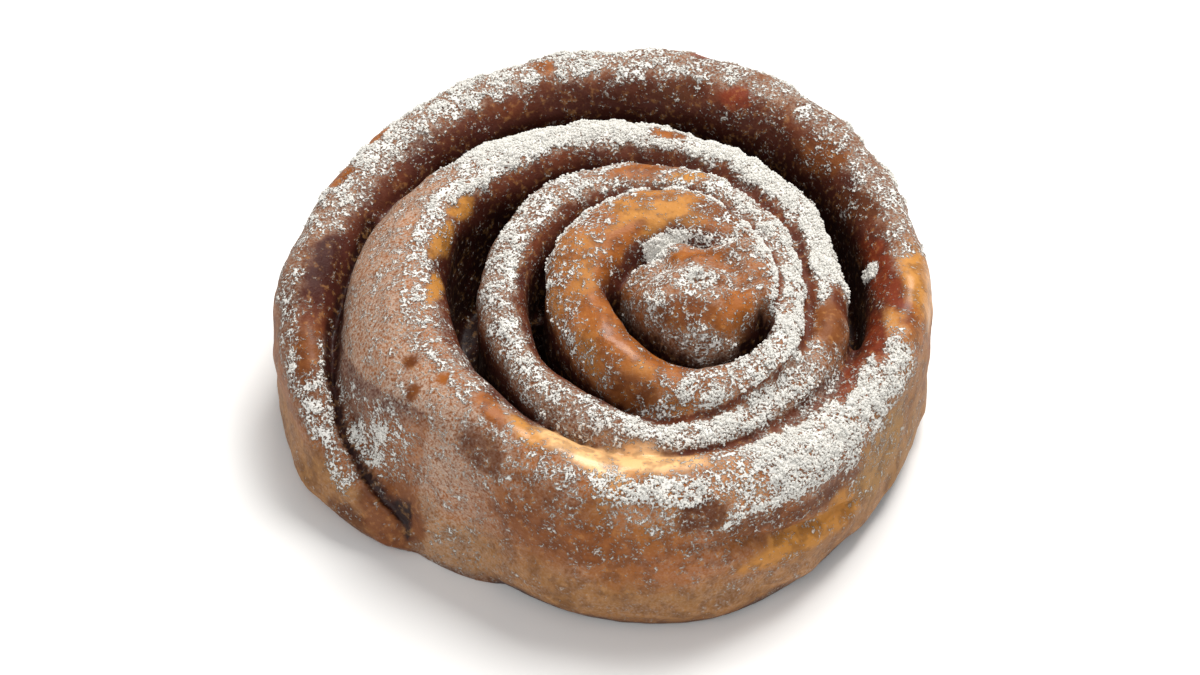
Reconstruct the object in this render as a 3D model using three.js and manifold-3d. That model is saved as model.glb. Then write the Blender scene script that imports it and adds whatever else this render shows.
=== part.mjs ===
// A cinnamon roll, baked in one piece: one strip of dough wound clockwise inwards
// from a loose tail, each turn standing a little higher than the one outside it,
// and all the turns grown together at the base.
//
// Millimetres, +Z up. The origin is the middle of the roll's box, on its flat base.

import * as THREE from 'three';
import { mergeVertices } from 'three/addons/utils/BufferGeometryUtils.js';
import Module from 'manifold-3d';

const wasm = await Module();
wasm.setup();

// ---------------------------------------------------------------- driving dimensions

// Overall sizes. The stations below are given for a roll of the drawn sizes, and
// follow these two: the route spreads with the width, and the crests, the heart and
// the knob rise with the height.
const ROLL_WIDTH = 115;
const DRAWN_WIDTH = 115;
const ROLL_HEIGHT = 43;
const DRAWN_HEIGHT = 43;

// The base, where the turns have grown together.
const FILL_HEIGHT = 13;          // depth of fused dough under the open grooves
const HEART_HEIGHT = 33;         // the same, under the eye of the roll
const HEART_RADIUS = 15;         // reach of that raised middle at its foot
const HEART_TOP_RADIUS = 6;

// The folded knob in the eye: half its width, depth and height, and where it sits.
const KNOB_RADII = [12.5, 10.5, 12];
const KNOB_SHIFT = [0.5, 1];

// The strip's section.
const FOOT_LEVEL = 5;            // height at which the outer wall is widest
const FOOT_UNDERCUT = 2.5;       // how far the wall draws in again below that
const WALL_SPREAD = 0.9;         // extra thickness that a side gains at its foot
const ROUND_POINTS = 5;          // points on each rounded shoulder
const ROUND_SIDES = 24;          // sides of the round pieces in the eye

// How finely the strip is stepped along its route.
const STEP_LENGTH = 4;
const STEP_TURN = 12;            // degrees, where the turns are tight
const PIECE_STEPS = 24;          // steps in each piece that is swept on its own

// One station of the route: its heading round the eye in degrees, which falls as the
// strip winds inwards, then the crest's distance from the eye and its height, the
// dough's reach from the crest to its inner and outer side, and how far below the
// crest each of those sides is reached.
const station = (heading, reach, crest, inner, innerDrop, outer, outerDrop) => ({
  heading, reach, crest, inner, innerDrop, outer, outerDrop,
});

// The loose tail, lying low on the tray and climbing the outside of the roll.
const TAIL = [
  station(-156, 47.5, 6, 3, 3, 2, 3),
  station(-159, 50.5, 9.5, 5, 5, 4, 5),
  station(-164, 54.5, 13, 6, 6, 5, 7),
  station(-172, 60, 18, 6, 6, 5, 7),
  station(-183, 65, 25, 6, 6, 5, 8),
  station(-195, 69, 30, 7, 7, 5.5, 9),
  station(-210, 70, 33, 8, 8, 5.5, 9),
];

// The outer turn: a free rim at the back and right, with a groove inside it, and the
// broad front wall of the roll, whose left flank slopes out under the tail.
const OUTER_TURN = [
  station(-225, 71, 35, 8, 9, 6, 9),
  station(-247, 70.5, 36, 8, 9, 6, 9),
  station(-270, 67, 36.5, 8.5, 9, 6, 9),
  station(-292, 58.5, 35.5, 8, 9, 6, 9),
  station(-315, 48.5, 33.5, 7, 9, 5, 9),
  station(-337, 40.5, 32, 7, 9, 4.5, 9),
  station(-360, 34, 31, 6.5, 7, 4, 9),
  station(-390, 29, 30, 6.5, 5, 4.5, 10),
  station(-420, 27, 29.5, 6, 5, 7, 11),
  station(-450, 28.5, 30, 5, 4, 9, 12),
  station(-480, 33.5, 31, 5.5, 4, 7.5, 13),
  station(-510, 39, 33.5, 6, 5, 7, 15),
  station(-540, 46, 36.5, 6, 6, 13, 18),
  station(-570, 50.5, 38, 5, 6, 13, 18),
];

// The middle turns, whose crests carry most of the sugar.
const MIDDLE_TURNS = [
  station(-600, 49, 38.5, 6, 6, 8, 14),
  station(-630, 42, 38, 5.5, 6, 5, 10),
  station(-660, 33.5, 37, 5.5, 5, 4, 8),
  station(-690, 25.5, 35.5, 4.5, 4, 4, 7),
  station(-720, 22, 34.5, 3.5, 3, 4, 5),
  station(-750, 20, 33, 3.5, 3, 3.5, 3),
  station(-780, 19.5, 32, 3, 3, 3.2, 3),
  station(-810, 21.5, 31.5, 3, 3, 3, 3),
  station(-840, 23.5, 32.5, 3, 3, 3.5, 3),
  station(-870, 27, 34, 3.5, 4, 4, 4),
  station(-900, 31, 36, 4, 4, 4, 5),
  station(-930, 34.5, 38, 5, 5, 4.5, 5),
  station(-960, 36, 39, 6, 5, 4.5, 5),
  station(-990, 31.5, 39, 5, 5, 4, 5),
  station(-1020, 23.5, 39, 4, 4, 3.5, 4),
  station(-1050, 18, 38.5, 2.5, 3, 2.5, 3),
  station(-1080, 15.5, 38, 3, 3, 2.5, 3),
];

// The inner turn and the heart, which the last of the strip folds into.
const INNER_TURN = [
  station(-1110, 15.5, 37, 4, 4, 3.5, 4),
  station(-1140, 15, 36.5, 5, 4, 3.5, 5),
  station(-1170, 15, 36, 5.5, 4, 3.5, 5),
  station(-1200, 15, 37, 5.5, 4, 4, 6),
  station(-1230, 16, 38.5, 5.5, 4, 4.5, 7),
  station(-1260, 18, 39.5, 5, 4, 5.5, 7),
  station(-1290, 20.5, 41, 6, 4, 7, 6),
  station(-1320, 21.5, 42, 7, 4, 7.5, 6),
  station(-1350, 19.5, 42.5, 7, 5, 6.5, 5),
  station(-1380, 16, 42, 5, 4, 4, 4),
  station(-1410, 12, 41.5, 4, 4, 3.5, 4),
  station(-1440, 9.5, 41.3, 4, 4, 3.5, 4),
  station(-1470, 7.5, 41, 3.5, 4, 3, 5),
];

const ROUTE = [...TAIL, ...OUTER_TURN, ...MIDDLE_TURNS, ...INNER_TURN];

const CRUST = new THREE.MeshStandardMaterial({
  name: 'baked_dough',
  color: new THREE.Color(0.29, 0.12, 0.04),
  roughness: 0.55,
  metalness: 0,
});

// ------------------------------------------------------------------------- the route

const FULL_TURN = 360;
const routeScale = ROLL_WIDTH / DRAWN_WIDTH;
const riseScale = ROLL_HEIGHT / DRAWN_HEIGHT;

// Smooth value between four neighbouring stations, by Catmull-Rom on their headings.
function blend(before, from, to, after, key, share) {
  const span = to.heading - from.heading;
  const slopeFrom = (to[key] - before[key]) / (to.heading - before.heading);
  const slopeTo = (after[key] - from[key]) / (after.heading - from.heading);
  const s2 = share * share;
  const s3 = s2 * share;
  return (2 * s3 - 3 * s2 + 1) * from[key]
    + (s3 - 2 * s2 + share) * span * slopeFrom
    + (3 * s2 - 2 * s3) * to[key]
    + (s3 - s2) * span * slopeTo;
}

// The strip at any heading: every size of a station, at the roll's real size.
function stripAt(heading) {
  const last = ROUTE.length - 1;
  const next = ROUTE.findIndex((each) => each.heading <= heading);
  const to = Math.min(Math.max(next, 1), last);
  const from = to - 1;
  const share = (heading - ROUTE[from].heading) / (ROUTE[to].heading - ROUTE[from].heading);
  const before = ROUTE[Math.max(from - 1, 0)];
  const after = ROUTE[Math.min(to + 1, last)];
  const at = {};
  for (const key of ['reach', 'crest', 'inner', 'innerDrop', 'outer', 'outerDrop']) {
    at[key] = blend(before, ROUTE[from], ROUTE[to], after, key, share);
  }
  at.reach *= routeScale;
  at.crest *= riseScale;
  return at;
}

// The crest's place in plan, seen from the eye.
function crestPoint(heading) {
  const angle = THREE.MathUtils.degToRad(heading);
  return new THREE.Vector2(Math.cos(angle), Math.sin(angle)).multiplyScalar(stripAt(heading).reach);
}

// The direction square to the strip in plan, pointing away from the eye.
function outwards(heading) {
  const along = crestPoint(heading - 1).sub(crestPoint(heading + 1)).normalize();
  return new THREE.Vector2(-along.y, along.x);
}

// The headings at which the strip is stepped, from the tail to the heart.
function routeHeadings() {
  const first = ROUTE[0].heading;
  const last = ROUTE[ROUTE.length - 1].heading;
  const headings = [first];
  while (headings[headings.length - 1] > last) {
    const here = headings[headings.length - 1];
    const turn = THREE.MathUtils.radToDeg(STEP_LENGTH / stripAt(here).reach);
    headings.push(Math.max(here - Math.min(turn, STEP_TURN), last));
  }
  return headings;
}

// ------------------------------------------------------------------------- the strip

// The strip's section in its own measure: across it from -1, the inner side, to 1,
// and up from 0, the foot, through 1, where the shoulders start, to 2, the crest.
function sectionShape() {
  const shape = new THREE.Shape();
  shape.moveTo(-1, 0);
  for (let i = 0; i <= 2 * ROUND_POINTS; i += 1) {
    const angle = Math.PI * (1 - i / (2 * ROUND_POINTS));
    shape.lineTo(Math.cos(angle), 1 + Math.sin(angle));
  }
  shape.lineTo(1, 0.5);
  shape.lineTo(1, 0);
  return shape;
}

// A point of the section, as a distance outwards from the crest and a height.
function sectionPoint(strip, across, up) {
  const drop = across < 0 ? strip.innerDrop : strip.outerDrop;
  const side = across < 0 ? strip.inner : strip.outer;
  const shoulder = strip.crest - drop;
  const foot = Math.min(FOOT_LEVEL, shoulder / 2);
  if (up >= 1) {
    return { out: across * side, height: shoulder + drop * (up - 1) };
  }
  if (across > 0 && up === 0) {
    return { out: side + WALL_SPREAD - FOOT_UNDERCUT, height: 0 };
  }
  if (across > 0) {
    return { out: side + WALL_SPREAD, height: foot };
  }
  return { out: across * (side + WALL_SPREAD), height: 0 };
}

// A length of strip, extruded straight and then rolled up along its route.
function rolledStrip(headings) {
  const steps = headings.length - 1;
  const geometry = new THREE.ExtrudeGeometry(sectionShape(), {
    depth: steps,
    steps,
    bevelEnabled: false,
  });
  const place = geometry.getAttribute('position');
  for (let i = 0; i < place.count; i += 1) {
    const heading = headings[Math.round(place.getZ(i))];
    const { out, height } = sectionPoint(stripAt(heading), place.getX(i), place.getY(i));
    const point = crestPoint(heading).addScaledVector(outwards(heading), out);
    place.setXYZ(i, point.x, point.y, height);
  }
  return geometry;
}

// The strip in pieces that share one step with the next, so that no piece meets itself.
function strip() {
  const headings = routeHeadings();
  const pieces = [];
  for (let start = 0; start < headings.length - 2; start += PIECE_STEPS) {
    pieces.push(rolledStrip(headings.slice(start, start + PIECE_STEPS + 2)));
  }
  return pieces;
}

// -------------------------------------------------------------------------- the base

// The fused dough under the grooves, out to the crest of the outermost turn, from
// where the tail has climbed above it.
function fusedBase() {
  const headings = routeHeadings();
  const start = headings.find((each) => stripAt(each).crest > FILL_HEIGHT + FOOT_LEVEL);
  const outline = headings.filter((each) => each <= start && each > start - FULL_TURN);
  return new THREE.ExtrudeGeometry(new THREE.Shape(outline.map(crestPoint)), {
    depth: FILL_HEIGHT,
    bevelEnabled: false,
  });
}

// The folded knob of dough in the eye.
function knob() {
  const [wide, deep, high] = KNOB_RADII;
  const rise = high * riseScale;
  return new THREE.SphereGeometry(1, ROUND_SIDES, ROUND_SIDES / 2)
    .rotateX(Math.PI / 2)
    .scale(wide, deep, rise)
    .translate(KNOB_SHIFT[0], KNOB_SHIFT[1], ROLL_HEIGHT - rise);
}

// The raised middle under the eye, which the innermost turn stands on.
function heart() {
  const top = HEART_HEIGHT * riseScale;
  const outline = [
    new THREE.Vector2(0, 0),
    new THREE.Vector2(HEART_RADIUS, 0),
    new THREE.Vector2(HEART_RADIUS, FILL_HEIGHT),
    new THREE.Vector2(HEART_TOP_RADIUS, top),
    new THREE.Vector2(0, top),
  ];
  return new THREE.LatheGeometry(outline, ROUND_SIDES).rotateX(Math.PI / 2);
}

// -------------------------------------------------------------------------- the roll

// A solid that can be joined, from a closed three.js geometry.
function solid(geometry) {
  const bare = geometry.clone();
  bare.deleteAttribute('normal');
  bare.deleteAttribute('uv');
  const merged = mergeVertices(bare);
  const place = merged.getAttribute('position').array;
  return new wasm.Manifold(new wasm.Mesh({
    numProp: 3,
    vertProperties: Float32Array.from(place),
    triVerts: Uint32Array.from(merged.getIndex().array),
  }));
}

// A three.js geometry from a joined solid, centred over its base.
function geometryOf(joined) {
  const mesh = joined.getMesh();
  const geometry = new THREE.BufferGeometry();
  geometry.setAttribute('position', new THREE.BufferAttribute(mesh.vertProperties, 3));
  geometry.setIndex(new THREE.BufferAttribute(mesh.triVerts, 1));
  geometry.computeBoundingBox();
  const middle = geometry.boundingBox.getCenter(new THREE.Vector3());
  geometry.translate(-middle.x, -middle.y, 0);
  geometry.computeVertexNormals();
  return geometry;
}

const roll = [fusedBase(), heart(), knob(), ...strip()]
  .map(solid)
  .reduce((joined, piece) => joined.add(piece));

const cinnamonRoll = new THREE.Mesh(geometryOf(roll), CRUST);
cinnamonRoll.name = 'cinnamon_roll';

const object = new THREE.Group();
object.add(cinnamonRoll);

export default object;
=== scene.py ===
"""The looks of a baked cinnamon roll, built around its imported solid.

The dough is a fine copy of the solid, swollen, creased and wrinkled as baked dough is.
Its crust colours, its filling and its cover of sugar are painted on as attributes that
the materials read. Grains and clumps of sugar are real pieces that lie on the crests.
Lengths of the dough and the sugar are worked out in millimetres, and their meshes are
written in metres. The studio is in metres.
"""

from __future__ import annotations

import logging
import math
from dataclasses import dataclass, field
from enum import Enum
from typing import Callable, Sequence, Union

import bmesh
import bpy
import numpy as np
from mathutils import Matrix, Vector, noise


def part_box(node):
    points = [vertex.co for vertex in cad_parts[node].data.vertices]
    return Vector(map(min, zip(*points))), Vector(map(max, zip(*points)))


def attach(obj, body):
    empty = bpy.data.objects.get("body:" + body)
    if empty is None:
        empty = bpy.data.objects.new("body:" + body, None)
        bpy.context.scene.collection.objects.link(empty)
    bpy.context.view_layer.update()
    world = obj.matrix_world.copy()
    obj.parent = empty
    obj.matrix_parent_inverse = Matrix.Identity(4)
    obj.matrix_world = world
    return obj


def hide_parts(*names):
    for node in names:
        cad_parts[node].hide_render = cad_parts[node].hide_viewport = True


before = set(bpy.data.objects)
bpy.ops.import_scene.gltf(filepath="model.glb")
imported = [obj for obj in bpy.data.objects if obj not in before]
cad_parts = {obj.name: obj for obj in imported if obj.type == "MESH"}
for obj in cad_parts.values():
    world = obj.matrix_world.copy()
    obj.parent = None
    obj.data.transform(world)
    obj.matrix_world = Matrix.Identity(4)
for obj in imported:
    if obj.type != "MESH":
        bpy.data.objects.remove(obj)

logging.basicConfig(level=logging.INFO, format="%(message)s")
log = logging.getLogger("cinnamon_roll")

MM = 0.001
NODE = "cinnamon_roll"
BODY = "root"
Colour = tuple[float, float, float]
Number = Union[float, "Value"]


# ------------------------------------------------------------------ small helpers


def smooth_step(low: float, high: float, value: np.ndarray) -> np.ndarray:
    """A smooth rise from 0 at low to 1 at high.

    Args:
        low: where the rise starts.
        high: where it ends.
        value: the values to map.

    Returns:
        The mapped values, from 0 to 1.
    """
    share = np.clip((value - low) / (high - low), 0.0, 1.0)
    return share * share * (3.0 - 2.0 * share)


def perlin(points: np.ndarray, size: float, seed: float) -> np.ndarray:
    """Smooth noise at a number of points.

    Args:
        points: one row of millimetres per point.
        size: the width of a lump in millimetres.
        seed: shifts the pattern.

    Returns:
        One value per point, roughly from -1 to 1.
    """
    shift = Vector((seed * 7.31, seed * 3.17, seed * 5.71))
    at = points / size
    return np.array([noise.noise(Vector(row) + shift) for row in at.tolist()])


def fractal(points: np.ndarray, size: float, seed: float, octaves: int = 3) -> np.ndarray:
    """Noise with finer noise laid over it.

    Args:
        points: one row of millimetres per point.
        size: the width of the largest lumps.
        seed: shifts the pattern.
        octaves: how many sizes, each half the one before.

    Returns:
        One value per point, roughly from -1 to 1.
    """
    total = np.zeros(len(points))
    for octave in range(octaves):
        share = 0.5**octave
        total += share * perlin(points, size * share, seed + octave)
    return total / (2.0 - 0.5 ** (octaves - 1))


# ------------------------------------------------------------------ shader maths


@dataclass(frozen=True)
class Value:
    """A number that varies over the surface: one output socket, with arithmetic."""

    tree: "ShaderTree"
    socket: bpy.types.NodeSocket

    def _math(self, operation: str, *values: Number) -> "Value":
        """One Math node on the given values."""
        return self.tree.add("ShaderNodeMath", {"operation": operation}, dict(enumerate(values)))

    def __add__(self, other: Number) -> "Value":
        """This plus other."""
        return self._math("ADD", self, other)

    def __mul__(self, other: Number) -> "Value":
        """This times other."""
        return self._math("MULTIPLY", self, other)

    def __sub__(self, other: Number) -> "Value":
        """This less other."""
        return self._math("SUBTRACT", self, other)

    def __rsub__(self, other: Number) -> "Value":
        """Other less this."""
        return self._math("SUBTRACT", other, self)

    __radd__ = __add__
    __rmul__ = __mul__

    def clamped(self) -> "Value":
        """This, kept from 0 to 1."""
        settings = {"operation": "ADD", "use_clamp": True}
        return self.tree.add("ShaderNodeMath", settings, {0: self, 1: 0.0})

    def rise(self, low: Number, high: Number) -> "Value":
        """A smooth rise from 0, where this is low, to 1, where it is high."""
        sockets = {"Value": self, "From Min": low, "From Max": high}
        return self.tree.add("ShaderNodeMapRange", {"interpolation_type": "SMOOTHSTEP"}, sockets)


@dataclass
class ShaderTree:
    """A material's nodes, with one method that adds any of them."""

    material: bpy.types.Material

    @classmethod
    def new(cls, name: str) -> "ShaderTree":
        """Starts a new material with an empty tree.

        Args:
            name: the material's name.

        Returns:
            The tree.
        """
        material = bpy.data.materials.new(name)
        material.use_nodes = True
        material.node_tree.nodes.clear()
        return cls(material)

    def add(self, kind: str, settings: dict, inputs: dict, output: int | str = 0) -> Value:
        """Adds one node.

        Args:
            kind: the node's type.
            settings: its properties, set before its sockets are filled.
            inputs: socket name or number to a constant or a value of this tree.
            output: which output is wanted.

        Returns:
            The output, as a value.
        """
        node = self.material.node_tree.nodes.new(kind)
        for name, setting in settings.items():
            setattr(node, name, setting)
        for key, given in inputs.items():
            if isinstance(given, Value):
                self.material.node_tree.links.new(given.socket, node.inputs[key])
            else:
                node.inputs[key].default_value = given
        return Value(self, node.outputs[output])

    def place(self) -> Value:
        """The point on the piece, in metres."""
        return self.add("ShaderNodeTexCoord", {}, {}, "Object")

    def attribute(self, name: str, output: str = "Fac") -> Value:
        """A painted attribute of the mesh."""
        return self.add("ShaderNodeAttribute", {"attribute_name": name}, {}, output)

    def speckle(self, size: float, detail: float, rough: float = 0.6) -> Value:
        """Noise over the piece.

        Args:
            size: the width of its lumps in millimetres.
            detail: how many finer layers lie over them.
            rough: how strong each of those layers is beside the one before.

        Returns:
            The noise, from 0 to 1.
        """
        sockets = {
            "Vector": self.place(),
            "Scale": 1.0 / (size * MM),
            "Detail": detail,
            "Roughness": rough,
        }
        return self.add("ShaderNodeTexNoise", {"noise_dimensions": "3D"}, sockets, "Fac")

    def mix(self, share: Number, first: Colour | Value, second: Colour | Value) -> Value:
        """Mixes two colours.

        Args:
            share: how much of the second there is, from 0 to 1.
            first: a constant colour, or one of this tree.
            second: the same.

        Returns:
            The mixed colour.
        """
        colours = {
            key: given if isinstance(given, Value) else (*given, 1.0)
            for key, given in ((6, first), (7, second))
        }
        return self.add("ShaderNodeMix", {"data_type": "RGBA"}, {0: share, **colours}, 2)

    def bump(self, height: Value, depth: float, under: Value | None = None) -> Value:
        """Bends the surface's normal by a height.

        Args:
            height: the height, from 0 to 1.
            depth: how many millimetres a height of 1 is.
            under: a normal that is already bent.

        Returns:
            The bent normal.
        """
        sockets = {"Height": height, "Distance": depth * MM, "Strength": 1.0}
        if under is not None:
            sockets["Normal"] = under
        return self.add("ShaderNodeBump", {}, sockets, "Normal")

    def surface(self, **sockets: Number | Colour | Value) -> bpy.types.Material:
        """Ends the tree in a Principled shader.

        Args:
            sockets: a constant or a value for each of its sockets that is set.

        Returns:
            The finished material.
        """
        named = {}
        for name, given in sockets.items():
            colour = isinstance(given, tuple)
            named[name.replace("_", " ")] = (*given, 1.0) if colour else given
        shader = self.add("ShaderNodeBsdfPrincipled", {}, named, "BSDF")
        output = self.material.node_tree.nodes.new("ShaderNodeOutputMaterial")
        self.material.node_tree.links.new(shader.socket, output.inputs["Surface"])
        return self.material


# ------------------------------------------------------------------ finishes


class Tint(Enum):
    """The colours of baked dough, from the palest crust to the filling."""

    STRAW = (0.36, 0.195, 0.065)
    # a golden crust lightened by a painted highlight, for the glossy shoulder of the front rim
    HONEY_AND_HIGHLIGHT = (0.86, 0.50, 0.22)
    GOLD = (0.50, 0.215, 0.042)
    AMBER = (0.31, 0.095, 0.017)
    TOFFEE = (0.19, 0.060, 0.016)
    CHESTNUT = (0.095, 0.029, 0.012)
    RUST = (0.175, 0.030, 0.010)
    RUSSET = (0.14, 0.034, 0.012)
    MAROON = (0.066, 0.016, 0.010)
    # the cinnamon's dark brown, darkened further as painted shade for the deep grooves and the
    # creases
    FILLING_IN_SHADE = (0.018, 0.0055, 0.0045)


@dataclass(frozen=True)
class BakedDough:
    """Crust, filling and the powder that lies in them."""

    sugar: Colour = (0.78, 0.765, 0.72)
    shaded_sugar: Colour = (0.53, 0.42, 0.34)
    dust: Colour = (0.56, 0.43, 0.34)
    burnt: Colour = (0.050, 0.009, 0.004)
    golden: Colour = (0.85, 0.42, 0.13)
    grain: float = 0.46
    clump: float = 1.2
    drift: float = 2.8
    skin_depth: float = 0.16
    sugar_depth: float = 0.38
    glaze_roughness: float = 0.22
    specular: float = 0.12

    def material(self) -> bpy.types.Material:
        """Makes the dough's material.

        It reads the attributes crust, sugar, dust and gloss. grain, clump and drift are
        the widths in millimetres of the powder's three sizes of lump.

        Returns:
            The material.
        """
        tree = ShaderTree.new("baked_dough")
        crust = tree.attribute("crust", "Color")
        cover = tree.attribute("sugar")
        dust = tree.attribute("dust")
        gloss = tree.attribute("gloss")
        fine = tree.speckle(self.grain, 1.5)
        coarse = tree.speckle(self.clump, 2.0)
        broad = tree.speckle(self.drift, 2.0)

        # the crust, mottled, with a thin veil of dust
        dark = tree.mix(0.72, crust, self.burnt)
        light = tree.mix(0.30, crust, self.golden)
        bright = tree.mix(coarse.rise(0.50, 0.72) * 0.6, crust, light)
        mottled = tree.mix(broad.rise(0.44, 0.62) * 0.55, bright, dark)
        veil = (fine * 0.8 + coarse * 0.2).rise(0.30, 0.68) * dust
        dusty = tree.mix(veil, mottled, self.dust)

        # the powder, which covers more of the crust where the cover is thick
        powder = (fine * 0.46 + coarse * 0.32 + broad * 0.22).rise(0.34, 0.66)
        mask = (powder + cover - 1.0).rise(-0.16, 0.30)
        # the sugar is painted in a lit tone on its heaps, with painted shade between them
        painted_light_share = (fine * 0.6 + coarse * 0.4).rise(0.30, 0.52)
        pale = tree.mix(painted_light_share, self.shaded_sugar, self.sugar)
        colour = tree.mix(mask, dusty, pale)

        rough = (0.62 - gloss * 0.26 + mask * 0.5 + veil * 0.3).clamped()
        glaze = gloss.rise(0.45, 1.0) * (1.0 - mask) * 0.4
        skin = tree.bump(coarse * 0.45 + fine * 0.55, self.skin_depth)
        grains = mask * 0.3 + mask * (fine * 0.5 + coarse * 0.6)
        normal = tree.bump(grains, self.sugar_depth, skin)
        return tree.surface(
            Base_Color=colour,
            Roughness=rough,
            Normal=normal,
            Coat_Weight=glaze,
            Coat_Roughness=self.glaze_roughness,
            Specular_IOR_Level=self.specular,
        )


@dataclass(frozen=True)
class IcingSugar:
    """Loose grains and clumps of powdered sugar."""

    colour: Colour = (0.71, 0.695, 0.65)

    def material(self) -> bpy.types.Material:
        """The grains' material, a matt white."""
        tree = ShaderTree.new("icing_sugar")
        return tree.surface(Base_Color=self.colour, Roughness=0.92, Specular_IOR_Level=0.3)


@dataclass(frozen=True)
class PaleFloor:
    """The plain surface under the roll."""

    colour: Colour = (0.92, 0.92, 0.91)

    def material(self) -> bpy.types.Material:
        """The floor's material, a matt white."""
        tree = ShaderTree.new("pale_floor")
        return tree.surface(Base_Color=self.colour, Roughness=0.9, Specular_IOR_Level=0.1)


# ------------------------------------------------------------------ the strip's route


# The crest of the wound strip: its turn in degrees round the eye, which falls as it
# winds inwards, its reach from the eye, and the dough's reach to its inner and outer side.
CREST_LINE = (
    (-156, 47.5, 3, 2), (-159, 50.5, 5, 4), (-164, 54.5, 6, 5), (-172, 60, 6, 5),
    (-183, 65, 6, 5), (-195, 69, 7, 5.5), (-210, 70, 8, 5.5), (-225, 71, 8, 6),
    (-247, 70.5, 8, 6), (-270, 67, 8.5, 6), (-292, 58.5, 8, 6), (-315, 48.5, 7, 5),
    (-337, 40.5, 7, 4.5), (-360, 34, 6.5, 4), (-390, 29, 6.5, 4.5), (-420, 27, 6, 7),
    (-450, 28.5, 5, 9), (-480, 33.5, 5.5, 7.5), (-510, 39, 6, 7), (-540, 46, 6, 13),
    (-570, 50.5, 5, 13), (-600, 49, 6, 8), (-630, 42, 5.5, 5), (-660, 33.5, 5.5, 4),
    (-690, 25.5, 4.5, 4), (-720, 22, 3.5, 4), (-750, 20, 3.5, 3.5), (-780, 19.5, 3, 3.2),
    (-810, 21.5, 3, 3), (-840, 23.5, 3, 3.5), (-870, 27, 3.5, 4), (-900, 31, 4, 4),
    (-930, 34.5, 5, 4.5), (-960, 36, 6, 4.5), (-990, 31.5, 5, 4), (-1020, 23.5, 4, 3.5),
    (-1050, 18, 2.5, 2.5), (-1080, 15.5, 3, 2.5), (-1110, 15.5, 4, 3.5),
    (-1140, 15, 5, 3.5), (-1170, 15, 5.5, 3.5), (-1200, 15, 5.5, 4), (-1230, 16, 5.5, 4.5),
    (-1260, 18, 5, 5.5), (-1290, 20.5, 6, 7), (-1320, 21.5, 7, 7.5), (-1350, 19.5, 7, 6.5),
    (-1380, 16, 5, 4), (-1410, 12, 4, 3.5), (-1440, 9.5, 4, 3.5), (-1470, 7.5, 3.5, 3),
)
FIRST_TURN = -156
LAST_TURN = -1470
TIMES_WOUND = 5

# The edge of the knob in the eye: its heading in degrees and its reach.
KNOB_EDGE = (
    (0, 11.8), (51, 14.5), (63, 13), (93, 12.5), (116, 13.5), (149, 14), (161, 13.5),
    (181, 11), (203, 9.5), (230, 8.8), (254, 8.8), (279, 9.5), (308, 10.4), (334, 11),
    (360, 11.8),
)

# Along that route: the sugar's cover on the inner side, the crest and the outer side,
# and how dark the crust is baked, from 0 for golden to 1 for chestnut.
COVER_LINE = (
    (-156, 0.10, 0.15, 0.15, 0.45), (-165, 0.20, 0.56, 0.30, 0.55),
    (-178, 0.16, 0.62, 0.35, 0.72), (-190, 0.08, 0.38, 0.35, 0.88),
    (-200, 0.10, 0.38, 0.35, 0.80), (-212, 0.08, 0.58, 0.45, 0.80),
    (-230, 0.08, 0.54, 0.42, 0.80), (-255, 0.10, 0.58, 0.46, 0.80),
    (-275, 0.12, 0.44, 0.60, 0.85), (-295, 0.10, 0.38, 0.60, 0.90),
    (-315, 0.10, 0.42, 0.58, 0.85), (-335, 0.14, 0.42, 0.50, 0.75),
    (-344, 0.10, 0.10, 0.12, 0.20), (-357, 0.10, 0.25, 0.25, 0.15),
    (-363, 0.15, 0.72, 0.62, 0.35), (-375, 0.30, 0.72, 0.60, 0.50),
    (-400, 0.35, 0.73, 0.62, 0.55), (-425, 0.30, 0.70, 0.62, 0.50),
    (-440, 0.12, 0.50, 0.60, 0.30), (-455, 0.08, 0.28, 0.50, 0.25),
    (-475, 0.10, 0.26, 0.42, 0.30), (-490, 0.16, 0.34, 0.30, 0.45),
    (-510, 0.25, 0.42, 0.34, 0.50), (-530, 0.30, 0.46, 0.34, 0.50),
    (-550, 0.28, 0.52, 0.36, 0.50), (-570, 0.25, 0.60, 0.42, 0.55),
    (-585, 0.20, 0.78, 0.52, 0.60), (-600, 0.15, 0.90, 0.62, 0.70),
    (-640, 0.15, 0.86, 0.55, 0.75), (-690, 0.15, 0.86, 0.50, 0.80),
    (-712, 0.15, 0.84, 0.45, 0.80), (-722, 0.10, 0.10, 0.10, 0.40),
    (-735, 0.15, 0.45, 0.35, 0.60), (-760, 0.20, 0.62, 0.52, 0.80),
    (-800, 0.20, 0.72, 0.58, 0.80), (-830, 0.15, 0.60, 0.46, 0.75),
    (-860, 0.15, 0.48, 0.38, 0.75), (-900, 0.15, 0.56, 0.38, 0.80),
    (-940, 0.15, 0.56, 0.42, 0.72), (-985, 0.20, 0.48, 0.50, 0.60),
    (-1020, 0.30, 0.62, 0.60, 0.65), (-1060, 0.30, 0.72, 0.66, 0.65),
    (-1110, 0.40, 0.64, 0.55, 0.60), (-1150, 0.35, 0.50, 0.44, 0.55),
    (-1185, 0.20, 0.34, 0.50, 0.35), (-1230, 0.15, 0.14, 0.36, 0.25),
    (-1270, 0.22, 0.26, 0.38, 0.30), (-1300, 0.26, 0.38, 0.62, 0.30),
    (-1345, 0.45, 0.15, 0.80, 0.15), (-1375, 0.50, 0.42, 0.72, 0.45),
    (-1410, 0.50, 0.56, 0.66, 0.50), (-1470, 0.50, 0.55, 0.50, 0.50),
)


@dataclass(frozen=True)
class Saddle:
    """A low ball of dough that fills a hollow of the solid.

    heading, reach and height place its middle, seen from the eye. along, across and
    tall are half its lengths, and slant turns it in plan, in degrees.
    """

    heading: float
    reach: float
    height: float
    along: float
    across: float
    tall: float
    slant: float = 0.0


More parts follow.
